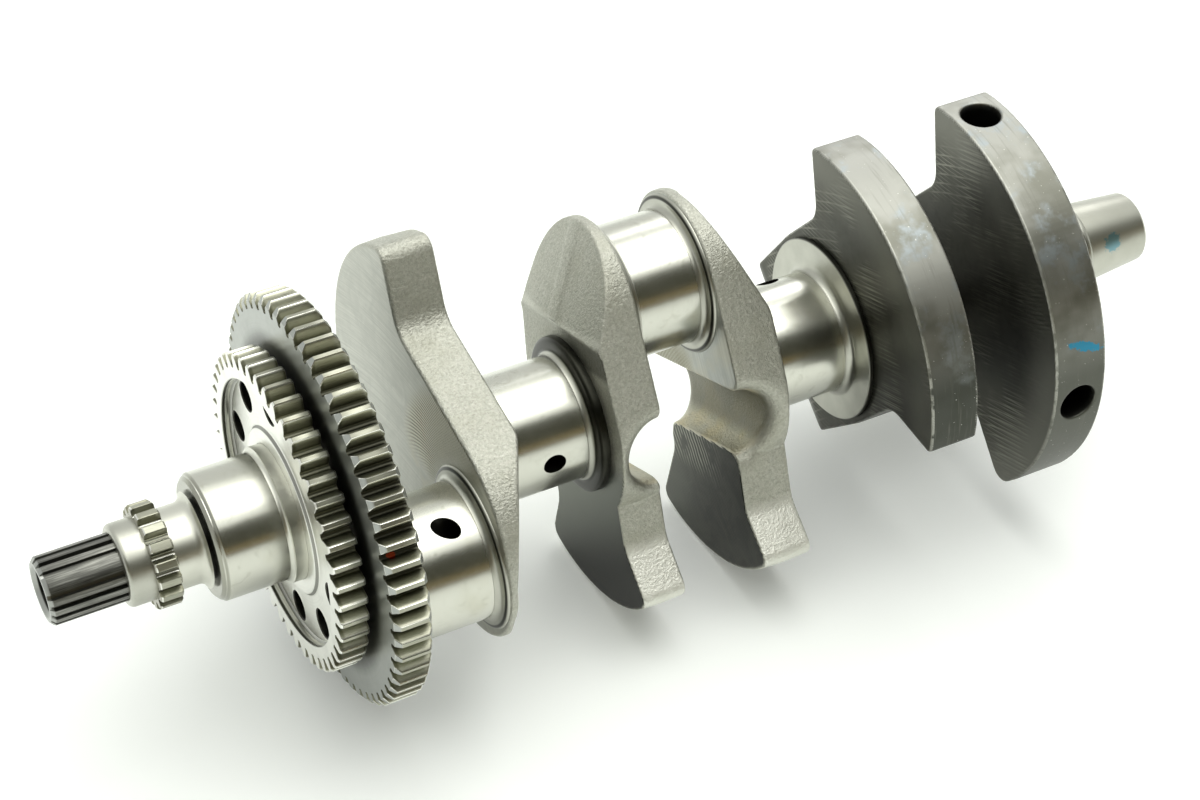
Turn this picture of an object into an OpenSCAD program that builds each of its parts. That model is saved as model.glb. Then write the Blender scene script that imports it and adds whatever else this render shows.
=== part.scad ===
// Crankshaft of an inline three-cylinder engine, with its crankpins 120 degrees apart.
// X runs along the crank from the splined nose to the rotor taper, and Z is up as the crank lies.
// The origin is on the crank axis at the middle of the first main journal.
// An angle about the axis is counted from +Y towards +Z.

/* [Crank] */
// Distance from the main axis to a crankpin axis, half the stroke
throw = 32.5; // [31:0.1:34]
// Distance between neighbouring cylinders
cylinder_pitch = 87.7; // [86:0.1:90]
// Angle of the first crankpin about the main axis
first_pin_angle = 191.5; // [0:0.5:360]
// Radius of the main journals
main_r = 19; // [17:0.25:20]
// Radius of the crankpins
pin_r = 20.5; // [19:0.25:22]
// Length of a crankpin between its webs
pin_length = 25.1; // [23:0.1:27]
// From the middle of the first main journal to the middle of the first crankpin
first_pin_x = 45.6; // [45:0.1:47]

/* [Webs] */
// Thickness of webs two to five
web_t = 16; // [14:0.5:17]
// Thickness of the last web
last_web_t = 17.8; // [16:0.1:20]
// Distance of every web's crankpin end from the main axis
lobe_tip_u = 58.3; // [57:0.1:60]
// Outer radius of web two's counterweight
web_2_r = 66; // [62:0.5:67]
// Outer radius of web three's counterweight
web_3_r = 62; // [60:0.5:66]
// Outer radius of web four's counterweight
web_4_r = 63; // [60:0.5:66]
// Outer radius of web five's counterweight
web_5_r = 60.8; // [58:0.1:64]
// Outer radius of the last web's counterweight
web_6_r = 63.8; // [60:0.1:66]
// Angle at which a web is cut back beyond the ridge on its journal side
bevel_angle = 24; // [18:1:28]
// Distance of that ridge from the main axis on webs three and four
ridge_u = 29.5; // [28:0.5:32]
// Radius of the valley across the crankpin side of webs three and four
valley_r = 10.5; // [9:0.5:11]
// Diameter of the two balance holes in the last web's rim
balance_hole_d = 12; // [8:0.5:13]

/* [Gears] */
// Teeth of the primary drive gear
primary_teeth = 61; // [55:1:70]
// Tip radius of the primary drive gear
primary_tip_r = 61.8; // [58:0.1:63]
// Teeth of the balancer drive gear
balancer_teeth = 47; // [42:1:54]
// Tip radius of the balancer drive gear
balancer_tip_r = 47.7; // [46:0.1:50]
// Teeth of the timing sprocket
sprocket_teeth = 17; // [15:1:20]
// Tip radius of the timing sprocket
sprocket_tip_r = 15.3; // [14.8:0.1:16]
// Number of holes through the balancer gear
gear_holes = 10; // [6:1:10]
// Diameter of each of them
gear_hole_d = 9; // [6:0.5:9]

/* [Ends] */
// Outer radius of the splined nose
nose_r = 10; // [9:0.1:11]
// Bore in the end of the nose
nose_bore_r = 6.5; // [5:0.1:7]
// Large end radius of the rotor taper
taper_r = 13.15; // [12.5:0.05:13.5]
// Small end radius of the rotor taper
taper_end_r = 11.15; // [10.5:0.05:11.5]
// Bolt hole in the end of the taper
taper_bore_r = 5.1; // [4:0.1:6]

/* [Hidden] */
$fn = 96;

ground_steel = [0.80, 0.79, 0.75];
forged_steel = [0.52, 0.51, 0.47];
machined_steel = [0.36, 0.36, 0.34];
gear_steel = [0.45, 0.45, 0.42];
dark_steel = [0.24, 0.24, 0.23];

overlap = 0.01;

// Stations along the crank, each the left face of its zone
nose_x = -57.7;
collar_x = -35.7;
sprocket_x = -28.3;
neck_x = -21.5;
journal_1_x = -11.3;
seat_x = 9.7;
balancer_x = 11.4;
shoulder_x = 20;
primary_x = 21.8;
function pin_centre_x(k) = first_pin_x + (k - 1) * cylinder_pitch;
function pin_angle(k) = first_pin_angle - (k - 1) * 120;
pin_1_x = pin_centre_x(1) - pin_length / 2;
pin_2_x = pin_centre_x(2) - pin_length / 2;
pin_3_x = pin_centre_x(3) - pin_length / 2;
web_2_x = pin_1_x + pin_length;
journal_2_x = web_2_x + web_t;
web_3_x = pin_2_x - web_t;
web_4_x = pin_2_x + pin_length;
journal_3_x = web_4_x + web_t;
web_5_x = pin_3_x - web_t;
web_6_x = pin_3_x + pin_length;
journal_4_x = web_6_x + last_web_t;
rear_x = journal_4_x + 27;
taper_x = rear_x + 4;
end_x = 305.7;

// Nose: 18 spline places, one of them left blank so that the mating hub fits one way round
spline_places = 18;
blank_spline = 2;
first_groove_angle = 90.7;
groove_w = 1.5;
groove_depth = 1.3;
nose_bore_depth = 22;
collar_r = 12.2;
neck_r = 12;
sprocket_root_r = 12.9;
first_sprocket_tooth = 88;

// Gears
pressure_angle = 20;
seat_r = 20.3;
seat_fillet = 1.3;
gear_recess = 3;
gear_lip_r = 40;
gear_boss_r = 25;
gear_hole_pcr = 34;
first_gear_hole = 9.7;
first_balancer_tooth = 0;
first_primary_tooth = 0;
gear_shoulder_r = 30;
ring_x = 12.3;
ring_t = 1.2;
ring_gap = 0.1;
ring_groove_r = 41.2;
ring_proud = 0.4;
ring_break = 2.5;
ring_break_angle = 330;

// Journals and their oil holes
pin_ring_h = 4;
journal_ring_h = 5;
shoulder_t = 1;
fillet_r = 2;
thrust_ring_t = 1.5;
thrust_ring_r = 29;
thrust_fillet = 2.5;
oil_d = 6.2;
oil_after_pin = -78.8;
journal_oil_after_pin = -14.4;

// Webs
valley_u = -10;
valley_turn = -5;
balance_hole_depth = 22;
root_round = 9;
hole_a_angle = 90.6;
hole_b_angle = 181.2;

// Rotor end
rear_shoulder_r = 15.5;
taper_bore_depth = 22;

// Stands a flat outline, drawn in Y and Z, across the crank at x, and gives it a thickness along X
module across(x, thickness) {
    translate([x, 0, 0]) rotate([90, 0, 90]) linear_extrude(thickness) children();
}

// Turns a half outline of [radius, x] points about the crank axis
module turned(outline) {
    rotate([0, 90, 0]) rotate_extrude() polygon(outline);
}

// Cylinder along the crank axis
module bar(x, r, length) {
    translate([x, 0, 0]) rotate([0, 90, 0]) cylinder(r = r, h = length);
}

// Moves what it holds to crankpin k, with its own first axis pointing away from the main axis
module at_pin(k) {
    rotate([pin_angle(k), 0, 0]) children();
}

// Points of an arc, from angle a to angle b
function arc(cx, cy, r, a, b, n) =
    [for (i = [0:n]) [cx + r * cos(a + (b - a) * i / n), cy + r * sin(a + (b - a) * i / n)]];

// Points that round the corner at p, between the neighbours p0 and p1, with radius r
function corner(p0, p, p1, r, n) =
    let (d0 = (p0 - p) / norm(p0 - p),
         d1 = (p1 - p) / norm(p1 - p),
         half = acos(d0 * d1) / 2,
         m = (d0 + d1) / norm(d0 + d1),
         c = p + m * r / sin(half),
         start = p + d0 * r / tan(half) - c,
         stop = p + d1 * r / tan(half) - c,
         a = atan2(start.y, start.x),
         turn = atan2(start.x * stop.y - start.y * stop.x, start * stop))
    arc(c.x, c.y, r, a, a + turn, n);

function polar(r, a) = [r * cos(a), r * sin(a)];

function mirrored(points) = [for (i = [len(points) - 1:-1:0]) [points[i].x, -points[i].y]];

// Half of a web's outline, from its crankpin end round to its counterweight's corner. The crankpin
// lies along the first axis. The counterweight's flank points away from the main axis, at the angle
// side from the middle of the counterweight, and neck is the half width between it and the waist.
function half_web(outer_r, lobe, waist, side, neck, tip_round) =
    let (lobe_c = lobe_tip_u - lobe,
         lean = acos((waist - lobe) / lobe_c),
         lobe_end = [lobe_c, 0] + polar(lobe, lean),
         root = [-neck / tan(side), neck],
         tip = polar(outer_r, 180 - side),
         waist_end = neck < waist ? 180 - asin(neck / waist) : 90,
         has_waist = root.x < 0)
    concat(
        arc(lobe_c, 0, lobe, 0, lean, 20),
        has_waist ? arc(0, 0, waist, lean, waist_end, 10) : [],
        corner(has_waist ? polar(waist, waist_end) : lobe_end, root, tip, root_round, 6),
        corner(root, tip, polar(outer_r, 180 - side + 2 * tip_round), tip_round, 6));

// Whole outline. Each side is [angle of the flank, half width of the neck, rounding of the corner].
function web_outline(outer_r, lobe, waist, side_a, side_b) =
    let (a = half_web(outer_r, lobe, waist, side_a[0], side_a[1], side_a[2]),
         b = half_web(outer_r, lobe, waist, side_b[0], side_b[1], side_b[2]))
    concat(a,
           arc(0, 0, outer_r, 180 - side_a[0] + 2 * side_a[2], 180 + side_b[0] - 2 * side_b[2], 40),
           [for (i = [0:len(b) - 2]) mirrored(b)[i]]);

// A web's plain slab, between x and x + thickness
module web_slab(k, x, thickness, outline) {
    at_pin(k) across(x, thickness) polygon(outline);
}

// Wedge that cuts a web back towards its crankpin, beyond the ridge. The cut starts at the face
// at x, and side is 1 when the web lies to the right of that face and -1 when it lies to the left.
module bevel_cut(k, x, side, ridge) {
    at_pin(k) translate([x, ridge, 0]) mirror([side < 0 ? 1 : 0, 0, 0]) rotate([0, 0, -bevel_angle])
        translate([-60, 0, -60]) cube([60, 80, 120]);
}

// Pocket that a drill leaves in a ground surface of radius r, at x: a hole with a chamfered mouth.
// lean tips the drill along the crank.
module oil_drilling(x, r, angle, d, lean) {
    rotate([angle, 0, 0]) translate([x, r, 0]) rotate([0, 0, lean]) {
        translate([0, 3, 0]) rotate([90, 0, 0]) cylinder(d = d, h = r + 1);
        translate([0, 1, 0]) rotate([90, 0, 0]) cylinder(d1 = d + 3, d2 = d, h = 1.5);
    }
}

// Raised ring and fillet, where a ground journal or crankpin of radius r grows out of the web face
// at x. It is rooted 1 mm deep in the web. Side is 1 when it points along +X and -1 when back.
module cheek_ring(x, r, side, shoulder_r) {
    root_x = x - side;
    step_x = x + side * shoulder_t;
    turned(concat(
        [[0, root_x], [shoulder_r, root_x], [shoulder_r, step_x]],
        arc(r + fillet_r, step_x + side * fillet_r, fillet_r, 180 + side * 90, 180, 6),
        [[0, step_x + side * fillet_r]]));
}

// The same on a crankpin's axis
module pin_ring(k, x, side) {
    at_pin(k) translate([0, throw, 0]) cheek_ring(x, pin_r, side, pin_r + pin_ring_h);
}

// Half the angle that an involute tooth spans at radius r, for a gear of that pitch radius
function involute(a) = tan(a) - a * PI / 180;
function tooth_half(r, pitch_r, teeth) =
    90 / teeth + (involute(pressure_angle) - involute(acos(pitch_r * cos(pressure_angle) / r))) * 180 / PI;

// Outline of an involute gear. It runs a little past the tips, which a turned blank then trims.
function gear_outline(teeth, tip_r, first_angle) =
    let (m = 2 * tip_r / (teeth + 2),
         pitch_r = tip_r - m,
         root_r = tip_r - 2.25 * m,
         radii = [root_r + 0.3, pitch_r - 0.5 * m, pitch_r + 0.25 * m, tip_r + 0.4])
    [for (i = [0:teeth - 1])
        let (a = first_angle + i * 360 / teeth)
        each concat(
            [polar(root_r, a - 180 / teeth)],
            [for (r = radii) polar(r, a - tooth_half(r, pitch_r, teeth))],
            [for (j = [3:-1:0]) polar(radii[j], a + tooth_half(radii[j], pitch_r, teeth))])];

// ---- Nose end ----

module splined_nose() {
    color(dark_steel) difference() {
        turned([[0, nose_x], [nose_r - 1.2, nose_x], [nose_r, nose_x + 1.2], [nose_r, collar_x], [0, collar_x]]);
        for (i = [0:spline_places - 1])
            if (i != blank_spline)
                rotate([first_groove_angle + i * 360 / spline_places, 0, 0])
                    translate([nose_x - 1, nose_r - groove_depth, -groove_w / 2])
                        cube([collar_x - nose_x + 2, 5, groove_w]);
        bar(nose_x - 1, nose_bore_r, nose_bore_depth + 1);
        translate([nose_x - overlap, 0, 0]) rotate([0, 90, 0])
            cylinder(r1 = nose_bore_r + 1.2, r2 = nose_bore_r, h = 1.2);
    }
}

module nose_collar() {
    color(ground_steel) turned(concat(
        [[0, collar_x], [nose_r + 0.4, collar_x]],
        arc(collar_r - 1.6, collar_x + 1.6, 1.6, 270, 360, 6),
        [[collar_r, sprocket_x], [0, sprocket_x]]));
}

module timing_sprocket() {
    pitch = 360 / sprocket_teeth;
    width = neck_x - sprocket_x;
    color(gear_steel) intersection() {
        across(sprocket_x, width) polygon(
            [for (i = [0:sprocket_teeth - 1])
                let (a = first_sprocket_tooth + i * pitch)
                each [polar(sprocket_root_r, a - 0.5 * pitch),
                      polar(sprocket_root_r + 0.1, a - 0.36 * pitch),
                      polar(sprocket_root_r + 0.9, a - 0.26 * pitch),
                      polar(sprocket_tip_r + 0.4, a - 0.2 * pitch),
                      polar(sprocket_tip_r + 0.4, a + 0.2 * pitch),
                      polar(sprocket_root_r + 0.9, a + 0.26 * pitch),
                      polar(sprocket_root_r + 0.1, a + 0.36 * pitch)]]);
        turned([[0, sprocket_x], [sprocket_tip_r - 0.5, sprocket_x], [sprocket_tip_r, sprocket_x + 0.5],
                [sprocket_tip_r, neck_x - 0.5], [sprocket_tip_r - 0.5, neck_x], [0, neck_x]]);
    }
}

module nose_neck() {
    color(ground_steel) turned(concat(
        [[0, neck_x], [neck_r, neck_x]],
        arc(neck_r + 3, journal_1_x - 4, 3, 180, 90, 8),
        [[neck_r + 2.5, journal_1_x - 1], [neck_r + 2.5, journal_1_x], [0, journal_1_x]]));
}

module main_journal_1() {
    color(ground_steel) difference() {
        turned([[0, journal_1_x], [main_r - 1, journal_1_x], [main_r, journal_1_x + 1.6],
                [main_r, seat_x - seat_fillet], [0, seat_x - seat_fillet]]);
        oil_drilling(0, main_r, pin_angle(1) + oil_after_pin - 120, oil_d, 0);
    }
}

// ---- Front gears ----

module gear_seat() {
    fillet_x = seat_x - seat_fillet;
    color(ground_steel) turned(concat(
        [[0, fillet_x]],
        arc(seat_r, fillet_x, seat_fillet, 180, 90, 6),
        [[seat_r, shoulder_x], [0, shoulder_x]]));
}

module balancer_gear() {
    plate_x = balancer_x + gear_recess;
    color(gear_steel) difference() {
        intersection() {
            across(balancer_x, shoulder_x - balancer_x)
                polygon(gear_outline(balancer_teeth, balancer_tip_r, first_balancer_tooth));
            turned([[0, balancer_x], [balancer_tip_r - 1.2, balancer_x], [balancer_tip_r, balancer_x + 0.9],
                    [balancer_tip_r, shoulder_x - 0.9], [balancer_tip_r - 1.2, shoulder_x], [0, shoulder_x]]);
        }
        // Recess inside the rim, around the boss, with the split ring's groove in its wall
        turned([[gear_boss_r, balancer_x - 1], [gear_lip_r, balancer_x - 1], [gear_lip_r, ring_x],
                [ring_groove_r, ring_x], [ring_groove_r, ring_x + ring_t + 2 * ring_gap],
                [gear_lip_r, ring_x + ring_t + 2 * ring_gap], [gear_lip_r, plate_x - 0.6],
                [gear_lip_r - 0.6, plate_x], [gear_boss_r + 0.6, plate_x], [gear_boss_r, plate_x - 0.6]]);
        turned([[0, balancer_x - 1], [gear_boss_r + 1, balancer_x - 1], [gear_boss_r + 1, balancer_x + 1.8],
                [0, balancer_x + 1.8]]);
        bar(balancer_x - 1, seat_r, 20);
        for (i = [0:gear_holes - 1])
            rotate([first_gear_hole + i * 360 / gear_holes, 0, 0]) translate([0, gear_hole_pcr, 0])
                bar(balancer_x, gear_hole_d / 2, 20);
    }
}

module gear_split_ring() {
    color(ground_steel) across(ring_x + ring_gap, ring_t) difference() {
        circle(r = ring_groove_r - ring_gap);
        circle(r = gear_lip_r - ring_proud);
        rotate(ring_break_angle) translate([0, -ring_break / 2]) square([60, ring_break]);
    }
}

module gear_shoulder() {
    color(dark_steel) bar(shoulder_x, gear_shoulder_r, primary_x - shoulder_x);
}

module primary_drive_gear() {
    color(gear_steel) {
        intersection() {
            across(primary_x, pin_1_x - primary_x)
                polygon(gear_outline(primary_teeth, primary_tip_r, first_primary_tooth));
            turned([[0, primary_x], [primary_tip_r - 2.6, primary_x], [primary_tip_r, primary_x + 1.8],
                    [primary_tip_r, pin_1_x - 1.8], [primary_tip_r - 2.6, pin_1_x], [0, pin_1_x]]);
        }
        pin_ring(1, pin_1_x, 1);
    }
}

// ---- Crankpins and main journals ----

ring_length = shoulder_t + fillet_r;

module crankpin(k) {
    x = pin_centre_x(k) - pin_length / 2 + ring_length;
    color(ground_steel) at_pin(k) translate([0, throw, 0]) difference() {
        bar(x, pin_r, pin_length - 2 * ring_length);
        oil_drilling(pin_centre_x(k) + 1.2, pin_r, oil_after_pin, oil_d, 15);
    }
}
module crankpin_1() { crankpin(1); }
module crankpin_2() { crankpin(2); }
module crankpin_3() { crankpin(3); }

// Plain main journal between x0 and x1, with its oil hole
module main_journal(x0, x1, hole_x, hole_angle, lean) {
    color(ground_steel) difference() {
        bar(x0, main_r, x1 - x0);
        oil_drilling(hole_x, main_r, hole_angle, oil_d, lean);
    }
}

module main_journal_2() {
    main_journal(journal_2_x + ring_length, web_3_x - ring_length, (journal_2_x + web_3_x) / 2 + 1.4,
                 pin_angle(1) + journal_oil_after_pin, 30);
}

module main_journal_3() {
    main_journal(journal_3_x + ring_length, web_5_x - thrust_ring_t - thrust_fillet,
                 (journal_3_x + web_5_x) / 2 + 0.6, pin_angle(2) + journal_oil_after_pin, 30);
}

module thrust_ring() {
    face_x = web_5_x - thrust_ring_t;
    color(ground_steel) turned(concat(
        [[0, web_5_x], [thrust_ring_r, web_5_x], [thrust_ring_r, face_x]],
        arc(main_r + thrust_fillet, face_x - thrust_fillet, thrust_fillet, 90, 180, 6),
        [[0, face_x - thrust_fillet]]));
}

module main_journal_4() {
    x0 = journal_4_x + ring_length;
    color(ground_steel) difference() {
        turned([[0, x0], [main_r, x0], [main_r, rear_x - 1], [main_r - 1, rear_x], [0, rear_x]]);
        oil_drilling(x0 + 7, main_r, pin_angle(3) + journal_oil_after_pin, oil_d, 0);
    }
}

// ---- Webs ----

module web_2() {
    color(forged_steel) {
        difference() {
            web_slab(1, web_2_x, web_t, web_outline(web_2_r, 34, 34, [57, 34, 5], [57, 34, 5]));
            bevel_cut(1, journal_2_x, -1, ridge_u - 4.2);
        }
        pin_ring(1, web_2_x, -1);
        cheek_ring(journal_2_x, main_r, 1, main_r + journal_ring_h);
    }
}

// Valley across the crankpin side of web three or four, on that web's face at x
module valley_cut(x) {
    at_pin(2) translate([x, valley_u, 0]) rotate([valley_turn, 0, 0])
        translate([0, 0, -60]) cylinder(r = valley_r, h = 120);
}

module web_3() {
    color(forged_steel) {
        difference() {
            web_slab(2, web_3_x, web_t, web_outline(web_3_r, 26, 32.5, [31, 22.5, 4], [33, 24, 4]));
            bevel_cut(2, web_3_x, 1, ridge_u);
            valley_cut(pin_2_x);
        }
        cheek_ring(web_3_x, main_r, -1, main_r + journal_ring_h);
        pin_ring(2, pin_2_x, 1);
    }
}

module web_4() {
    color(forged_steel) {
        difference() {
            web_slab(2, web_4_x, web_t, web_outline(web_4_r, 26, 32.5, [34, 25.5, 4], [33, 20.5, 4]));
            bevel_cut(2, journal_3_x, -1, ridge_u);
            valley_cut(web_4_x);
        }
        pin_ring(2, web_4_x, -1);
        cheek_ring(journal_3_x, main_r, 1, main_r + journal_ring_h);
    }
}

module web_5() {
    color(machined_steel) {
        difference() {
            web_slab(3, web_5_x, web_t, web_outline(web_5_r, 28, 31, [54.5, 31, 2], [52.5, 31, 2]));
            bevel_cut(3, web_5_x, 1, ridge_u - 1.5);
        }
        pin_ring(3, pin_3_x, 1);
    }
}

// Radial balance hole in the last web's rim
module balance_hole(angle) {
    rotate([angle, 0, 0]) translate([web_6_x + last_web_t / 2, web_6_r - balance_hole_depth, 0])
        rotate([-90, 0, 0]) cylinder(d = balance_hole_d, h = 40);
}

module web_6() {
    color(machined_steel) {
        difference() {
            web_slab(3, web_6_x, last_web_t, web_outline(web_6_r, 28, 29.3, [51.7, 29.3, 2.5], [97, 29.3, 5]));
            balance_hole(hole_a_angle);
            balance_hole(hole_b_angle);
        }
        pin_ring(3, web_6_x, -1);
        cheek_ring(journal_4_x, main_r, 1, main_r + journal_ring_h);
    }
}

// ---- Rotor end ----

module rear_shoulder() {
    color(ground_steel) turned([[0, rear_x], [rear_shoulder_r, rear_x], [rear_shoulder_r, taper_x - 1],
                                [rear_shoulder_r - 1, taper_x], [0, taper_x]]);
}

module rotor_taper() {
    color(ground_steel) difference() {
        turned([[0, taper_x], [taper_r, taper_x], [taper_end_r, end_x - 1], [taper_end_r - 1, end_x], [0, end_x]]);
        bar(end_x - taper_bore_depth, taper_bore_r, taper_bore_depth + 1);
    }
}

splined_nose();
nose_collar();
timing_sprocket();
nose_neck();
main_journal_1();
gear_seat();
balancer_gear();
gear_split_ring();
gear_shoulder();
primary_drive_gear();
crankpin_1();
web_2();
main_journal_2();
web_3();
crankpin_2();
web_4();
main_journal_3();
thrust_ring();
web_5();
crankpin_3();
web_6();
main_journal_4();
rear_shoulder();
rotor_taper();
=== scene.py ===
"""Looks of a forged crankshaft for an inline three-cylinder engine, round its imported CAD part.

Lengths are in millimetres until they become mesh points. X runs along the crank, and an angle
about it is counted from +Y towards +Z.
"""
from math import acos, asin, atan2, cos, degrees, hypot, pi, radians, sin, tan

import bpy
import numpy as np
import openvdb
from mathutils import Matrix, Vector
from numpy.linalg import norm


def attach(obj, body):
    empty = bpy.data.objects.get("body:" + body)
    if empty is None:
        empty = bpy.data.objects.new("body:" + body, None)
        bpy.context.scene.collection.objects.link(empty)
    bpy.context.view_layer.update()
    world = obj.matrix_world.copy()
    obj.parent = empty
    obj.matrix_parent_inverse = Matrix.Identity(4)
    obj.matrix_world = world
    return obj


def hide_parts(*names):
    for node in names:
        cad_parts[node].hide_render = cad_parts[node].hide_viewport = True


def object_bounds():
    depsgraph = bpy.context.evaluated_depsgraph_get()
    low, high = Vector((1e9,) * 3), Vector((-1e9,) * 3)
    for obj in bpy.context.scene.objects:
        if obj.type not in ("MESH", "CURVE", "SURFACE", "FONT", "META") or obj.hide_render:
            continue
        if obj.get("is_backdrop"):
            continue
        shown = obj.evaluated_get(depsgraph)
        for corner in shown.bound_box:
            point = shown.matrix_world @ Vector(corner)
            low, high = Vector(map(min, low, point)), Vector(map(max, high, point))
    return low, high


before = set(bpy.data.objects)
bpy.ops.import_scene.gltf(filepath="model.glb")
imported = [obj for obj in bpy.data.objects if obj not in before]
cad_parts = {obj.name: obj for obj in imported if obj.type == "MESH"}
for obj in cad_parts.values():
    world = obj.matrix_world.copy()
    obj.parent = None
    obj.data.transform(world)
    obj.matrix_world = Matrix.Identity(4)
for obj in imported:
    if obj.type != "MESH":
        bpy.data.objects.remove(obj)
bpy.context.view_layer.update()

MM = 0.001
SHARP_ANGLE = 32

# The crank's sizes, as the CAD part has them
THROW = 32.5
PITCH = 87.7
MAIN_R = 19
PIN_R = 20.5
PIN_LENGTH = 25.1
FIRST_PIN_X = 45.6
FIRST_PIN_ANGLE = 191.5
WEB_T = 16
LAST_WEB_T = 17.8
LOBE_TIP_U = 58.3
RIDGE_U = 29.5
BEVEL_ANGLE = 24
VALLEY_R = 10.5
VALLEY_U = -10
VALLEY_TURN = -5
BALANCE_HOLE_R = 6
BALANCE_HOLE_DEPTH = 22
BALANCE_HOLE_ANGLES = (90.6, 181.2)
ROOT_ROUND = 9
PIN_RING_H = 4
MAIN_RING_H = 5
RING_STEP = 1
RING_FILLET = 2
RING_LENGTH = RING_STEP + RING_FILLET
OIL_R = 3.1
OIL_AFTER_PIN = -78.8
MAIN_OIL_AFTER_PIN = -14.4
NOSE_X = -57.7
COLLAR_X = -35.7
SPROCKET_X = -28.3
NECK_X = -21.5
MAIN_1_X = -11.3
UNDERCUT_X = MAIN_1_X - 1.1
SEAT_X = 9.7
SEAT_R = 20.3
SEAT_FILLET = 1.3
BALANCER_X = 11.4
BALANCER_TEETH = 47
BALANCER_ROOT_R = 42.9
BALANCER_TIP_R = 47.7
BALANCER_HOLES = 10
BALANCER_HOLE_R = 4.5
BALANCER_HOLE_CIRCLE_R = 34
FIRST_BALANCER_HOLE = 9.7
RING_BREAK = 330
RING_GAP = 3.5
SHOULDER_X = 20
SHOULDER_R = 30
PRIMARY_X = 21.8
PRIMARY_TEETH = 61
PRIMARY_ROOT_R = 57.4
PRIMARY_TIP_R = 61.8
SPROCKET_TEETH = 17
SPROCKET_ROOT_R = 12.9
SPROCKET_TIP_R = 15.3
SPLINE_PLACES = 18
SPLINE_R = 10
SPLINE_DEPTH = 1.3
WEB_2_R = 66
WEB_3_R = 62
WEB_4_R = 63
WEB_5_R = 60.8
WEB_6_R = 63.8
THRUST_R = 29
THRUST_T = 4
MAIN_4_LENGTH = 27
REAR_LENGTH = 4
REAR_R = 15.5
END_X = 305.7
TAPER_R = 13.15
TAPER_END_R = 11.15
TAPER_BORE_R = 5.1
TAPER_BORE_DEPTH = 22


def pin_x(k):
    return FIRST_PIN_X + (k - 1) * PITCH


def pin_angle(k):
    return FIRST_PIN_ANGLE - (k - 1) * 120


def pin_centre(k):
    a = radians(pin_angle(k))
    return THROW * cos(a), THROW * sin(a)


PIN_1_X = pin_x(1) - PIN_LENGTH / 2
WEB_2_X = pin_x(1) + PIN_LENGTH / 2
WEB_3_X = pin_x(2) - PIN_LENGTH / 2 - WEB_T
WEB_4_X = pin_x(2) + PIN_LENGTH / 2
WEB_5_X = pin_x(3) - PIN_LENGTH / 2 - WEB_T
WEB_6_X = pin_x(3) + PIN_LENGTH / 2
MAIN_2_X = WEB_2_X + WEB_T
MAIN_3_X = WEB_4_X + WEB_T
MAIN_4_X = WEB_6_X + LAST_WEB_T
REAR_X = MAIN_4_X + MAIN_4_LENGTH
TAPER_X = REAR_X + REAR_LENGTH


# ---- Materials ----

class Nodes:
    """Short names for the nodes of a material or a world."""

    def __init__(self, tree):
        self.tree = tree

    def feed(self, socket, value):
        if isinstance(value, bpy.types.NodeSocket):
            self.tree.links.new(value, socket)
        else:
            socket.default_value = value

    def new(self, kind, *values, **settings):
        """A node with these settings, and with its first inputs fed."""
        made = self.tree.nodes.new("ShaderNode" + kind)
        for name, value in settings.items():
            setattr(made, name, value)
        for socket, value in zip(made.inputs, values):
            self.feed(socket, value)
        return made

    def split(self, vector):
        return tuple(self.new("SeparateXYZ", vector).outputs)

    def calc(self, operation, *values):
        return self.new("Math", *values, operation=operation).outputs[0]

    def add(self, a, b):
        return self.calc("ADD", a, b)

    def less(self, a, b):
        return self.calc("SUBTRACT", a, b)

    def times(self, product, *others):
        for other in others:
            product = self.calc("MULTIPLY", product, other)
        return product

    def scaled(self, value, by, plus):
        return self.calc("MULTIPLY_ADD", value, by, plus)

    def inverse(self, a):
        return self.less(1.0, a)

    def length(self, a, b):
        return self.calc("SQRT", self.add(self.times(a, a), self.times(b, b)))

    def step(self, value, low, high):
        """0 below low and 1 above high, or the other way round if high is less."""
        made = self.new("MapRange", value, low, high, 0.0, 1.0, interpolation_type="SMOOTHSTEP")
        return made.outputs["Result"]

    def band(self, value, low, high, soft):
        """1 between low and high, fading out over soft."""
        rise = self.step(value, low - soft, low + soft)
        fall = self.step(value, high + soft, high - soft)
        return self.times(rise, fall)

    def away(self, value, centre):
        return self.calc("ABSOLUTE", self.less(value, centre))

    def mix(self, amount, a, b):
        """A colour between a and b."""
        made = self.new("Mix", amount, data_type="RGBA")
        for socket, value in zip(made.inputs[6:8], (a, b)):
            self.feed(socket, value if isinstance(value, bpy.types.NodeSocket) else (*value, 1.0))
        return made.outputs[2]

    def over(self, colour, paint, *masks):
        """The colour with paint over it, as thick as the product of the masks."""
        return self.mix(self.times(*masks), colour, paint)

    def blend(self, amount, a, b):
        """A number between a and b."""
        made = self.new("Mix", amount)
        for socket, value in zip(made.inputs[2:4], (a, b)):
            self.feed(socket, value)
        return made.outputs[0]


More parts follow.
